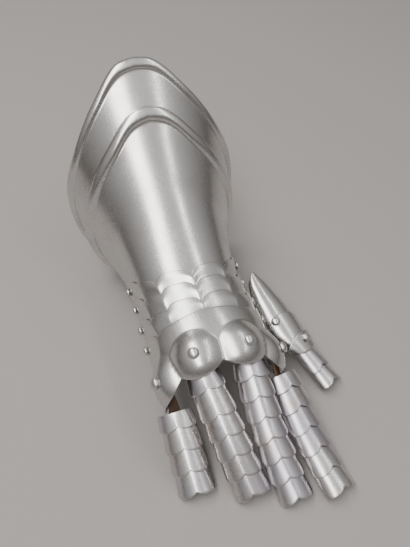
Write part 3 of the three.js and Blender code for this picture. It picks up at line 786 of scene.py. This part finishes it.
def leather_strip(node, rows):
    """A strip through rows of two points each, smooth along its length."""
    rows = np.array(rows)
    count = STRIP_STEPS * len(rows)
    left, right = (
        line.at(np.linspace(0, line.length, count), line.line)
        for line in (Crest(rows[:, 0]), Crest(rows[:, 1])))
    across = np.linspace(0, 1, STRIP_STEPS + 1)
    grid = lerp(left[:, None], right[:, None], across[None, :, None])
    points, faces = shell(grid, thickness=LEATHER)
    add_piece(f"{node}_strip", points, faces, node)


def knuckle_rows(name):
    """The strip under a knuckle, which follows the inside of the metacarpal plate."""
    angle, y, strap = KNUCKLES[name]
    rows = []
    for ahead in strap:
        at = y + ahead
        dive = LEATHER_DIVE if ahead < -5 else 0
        centre = raised(at, angle, dome_height(at, angle) - SHEET - LEATHER_SEAT - dive)
        across = unit(body_point(at, angle + 1) - body_point(at, angle - 1)) * LEATHER_WIDTH / 2
        rows.append([centre - across, centre + across])
    return rows


def strip_rows(crest, roll, distances, width, dive=0):
    """The strip along a crest line, under its scales."""
    rows = []
    for index, distance in enumerate(distances):
        lift = -LEATHER_DEPTH - (dive if index == 0 else 0)
        rows.append(arched(crest, roll, np.array([-1.0, 1.0]), distance, width / 2, 0, lift))
    return rows


def finger_leather(name):
    crest_points, *_, roll = FINGERS[name]
    crest = Crest(crest_points)
    outer = name in ("little", "index")
    first = OUTER_STRAP if outer else INNER_STRAP
    distances = (first, crest.length / 2, crest.length - STRAP_END)
    under_scales = strip_rows(
        crest, roll, distances, LEATHER_WIDTH, LEATHER_DIVE if outer else 0)
    leather_strip(f"{name}_leather", knuckle_rows(name) + under_scales)


for name in KNUCKLES:
    finger_leather(name)
leather_strip("thumb_leather", strip_rows(THUMB, THUMB_ROLL, THUMB_STRAP, THUMB_LEATHER))
half_tab = np.array((0, TAB_WIDTH / 2, 0))
leather_strip("thumb_tab", [[point + half_tab, point - half_tab] for point in TAB_ROUTE])


# --------------------------------------------------------------------- stage

# Metres and degrees.
FLOOR_HALF = 3.0
AZIMUTH, ELEVATION, DISTANCE = -18.3, 49.4, 0.4427
SENSOR, LENS = 36, 39.5
AIM_OFFSET = (0.0006, 0.0164, -0.0212)  # from the middle of the box to the picture's centre
# Heights in the room, from the horizon (0) up, and their colours.
ROOM_STOPS = [
    (0.0, (0.13, 0.12, 0.113)), (0.9, (0.85, 0.84, 0.83)), (0.45, (0.42, 0.412, 0.405))]
ROOM_STRENGTH = 0.9


def make_floor():
    n = Nodes("floor paper")
    fibre = n.noise(900, (1, 1, 1), 4, 0.6)
    n.link(n.mix(fibre, (0.27, 0.255, 0.247), (0.33, 0.313, 0.303)), n.shader.inputs["Base Color"])
    n.shader.inputs["Roughness"].default_value = 0.9
    n.bump(fibre, 0.3, 0.0005)
    mesh = bpy.data.meshes.new("floor")
    corners = [(-1, -1), (1, -1), (1, 1), (-1, 1)]
    mesh.from_pydata([(x * FLOOR_HALF, y * FLOOR_HALF, 0) for x, y in corners], [], [(0, 1, 2, 3)])
    floor = bpy.data.objects.new("floor", mesh)
    floor.location.z = CAD_BOX[0][2]
    mesh.materials.append(n.material)
    bpy.context.scene.collection.objects.link(floor)


def ceiling_light(name, place, width, length, power, tilt, colour):
    """A soft panel overhead that runs along Y, tilted about Y by "tilt" degrees."""
    data = bpy.data.lights.new(name, "AREA")
    data.shape = "RECTANGLE"
    data.size, data.size_y = width, length
    data.energy = power
    data.color = colour
    light = bpy.data.objects.new(name, data)
    light.location = place
    light.rotation_euler.y = math.radians(tilt)
    bpy.context.scene.collection.objects.link(light)


def make_camera():
    """The camera at the photo's angle, aimed near the middle of the CAD box."""
    data = bpy.data.cameras.new("camera")
    data.sensor_width = SENSOR
    data.lens = LENS
    data.clip_start = 0.01
    camera = bpy.data.objects.new("camera", data)
    azimuth, elevation = math.radians(AZIMUTH), math.radians(ELEVATION)
    away = np.array((
        math.sin(azimuth) * math.cos(elevation), -math.cos(azimuth) * math.cos(elevation),
        math.sin(elevation)))
    target = (np.array(CAD_BOX[0]) + np.array(CAD_BOX[1])) / 2 + np.array(AIM_OFFSET)
    camera.location = target + DISTANCE * away
    heading = Vector(target) - camera.location
    camera.rotation_euler = heading.to_track_quat("-Z", "Y").to_euler()
    bpy.context.scene.collection.objects.link(camera)
    bpy.context.scene.camera = camera


def studio_world():
    """A room that is dark near the floor and lighter overhead."""
    world = bpy.data.worlds.new("studio")
    world.use_nodes = True
    tree = world.node_tree
    direction = tree.nodes.new("ShaderNodeTexCoord").outputs["Generated"]
    split = tree.nodes.new("ShaderNodeSeparateXYZ")
    ramp = tree.nodes.new("ShaderNodeValToRGB")
    tree.links.new(direction, split.inputs["Vector"])
    tree.links.new(split.outputs["Z"], ramp.inputs["Fac"])
    (low, low_colour), (high, high_colour), (middle, middle_colour) = ROOM_STOPS
    stops = ramp.color_ramp.elements
    stops[0].position, stops[0].color = low, (*low_colour, 1)
    stops[1].position, stops[1].color = high, (*high_colour, 1)
    stops.new(middle).color = (*middle_colour, 1)
    tree.links.new(ramp.outputs["Color"], tree.nodes["Background"].inputs["Color"])
    tree.nodes["Background"].inputs["Strength"].default_value = ROOM_STRENGTH
    bpy.context.scene.world = world


make_floor()
make_camera()
ceiling_light(
    "window", place=(-0.34, -0.15, 1.0), width=0.36, length=2.2, power=17, tilt=-15,
    colour=(1, 0.985, 0.965))
ceiling_light(
    "strip", place=(0.5, -0.1, 0.95), width=0.07, length=1.6, power=2.2, tilt=25,
    colour=(0.97, 1, 0.985))
studio_world()
